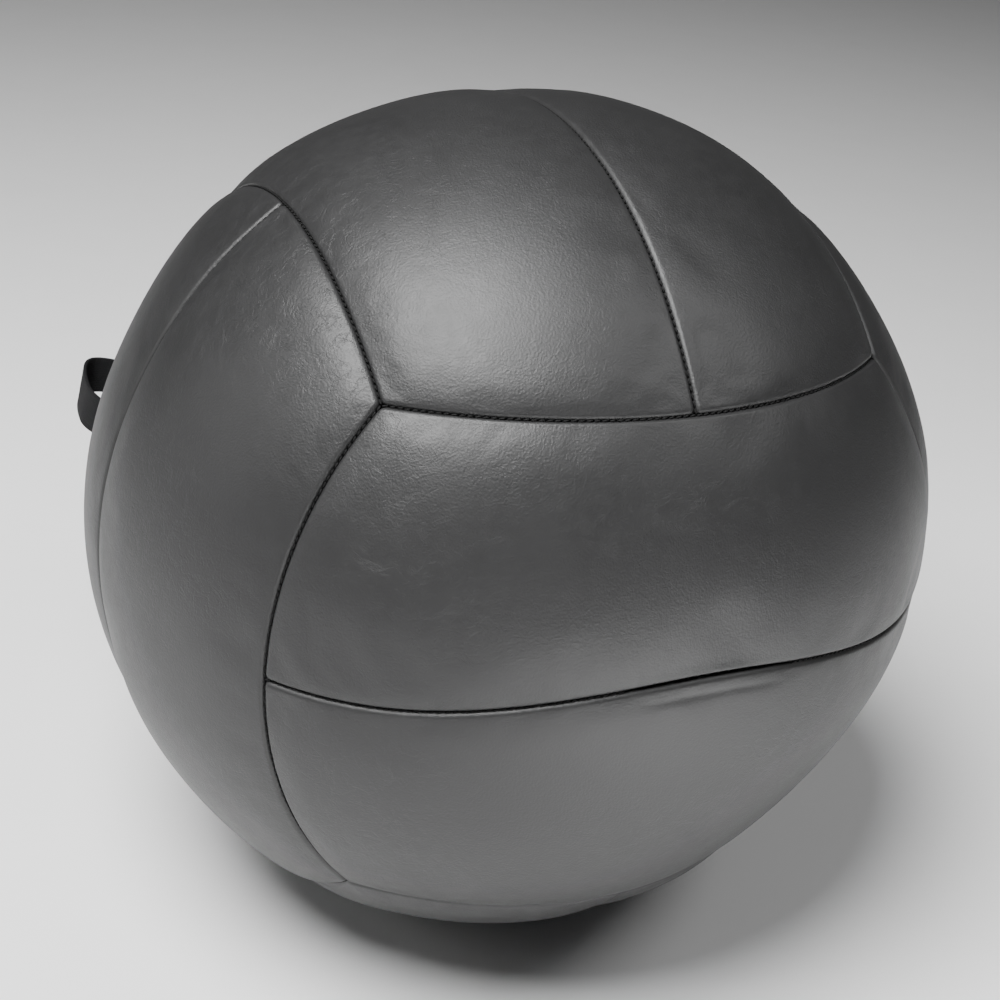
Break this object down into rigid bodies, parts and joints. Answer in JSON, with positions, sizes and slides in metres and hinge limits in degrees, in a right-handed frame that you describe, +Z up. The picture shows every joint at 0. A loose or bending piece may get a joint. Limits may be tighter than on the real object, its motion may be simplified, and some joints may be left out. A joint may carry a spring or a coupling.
{
  "type": "medicine ball",
  "caption": "Soft-shell medicine ball of sewn leather strip panels over foam, with a fibre-filled, weighted core and a webbing carrying loop.",
  "frame": {"origin": "middle of the flat patch that the ball rests on", "axes": "+Z up; -Y is the front, where the middle seam lies level; -X is the side with the carrying loop"},
  "size_m": [0.35, 0.35, 0.3441],
  "materials": {
    "cover": "black synthetic leather with a fine grain and a soft sheen",
    "foam": "pale open-cell foam",
    "thread": "black bonded polyester thread",
    "liner": "plain woven cotton",
    "fibre_fill": "packed textile fibre",
    "core_bag": "close-woven cloth",
    "core_weight": "loose iron sand",
    "webbing": "black woven webbing, semi-matt",
    "backing": "plain backing leather"
  },
  "bodies": {
    "ball": {"closing_stitches": "thread", "core_bag_lower": "core_bag", "core_bag_upper": "core_bag", "core_thread": "thread", "core_weight": "core_weight", "fibre_fill_lower": "fibre_fill", "fibre_fill_upper": "fibre_fill", "foam_back_lower": "foam", "foam_back_upper": "foam", "foam_bottom_left": "foam", "foam_bottom_right": "foam", "foam_front_lower": "foam", "foam_front_upper": "foam", "foam_left_back": "foam", "foam_left_front": "foam", "foam_right_back": "foam", "foam_right_front": "foam", "foam_top_left": "foam", "foam_top_right": "foam", "liner_lower": "liner", "liner_thread": "thread", "liner_upper": "liner", "loop_bartacks": "thread", "loop_patch": "backing", "loop_tail": "webbing", "panel_back_lower": "cover", "panel_back_upper": "cover", "panel_bottom_left": "cover", "panel_bottom_right": "cover", "panel_front_lower": "cover", "panel_front_upper": "cover", "panel_left_back": "cover", "panel_left_front": "cover", "panel_right_back": "cover", "panel_right_front": "cover", "panel_top_left": "cover", "panel_top_right": "cover", "thread_back": "thread", "thread_back_left": "thread", "thread_back_right": "thread", "thread_bottom": "thread", "thread_bottom_back": "thread", "thread_bottom_front": "thread", "thread_front": "thread", "thread_front_left": "thread", "thread_front_right": "thread", "thread_left": "thread", "thread_left_bottom": "thread", "thread_left_top": "thread", "thread_right": "thread", "thread_right_bottom": "thread", "thread_right_top": "thread", "thread_top": "thread", "thread_top_back": "thread", "thread_top_front": "thread"},
    "loop": {"loop_webbing": "webbing"}
  },
  "joints": [
    {"name": "loop_fold", "type": "hinge", "parent": "ball", "child": "loop", "pos_m": [-0.14111, 0.10518, 0.16911], "axis": [0, 0, 1], "range_deg": [-3, 117]}
  ]
}
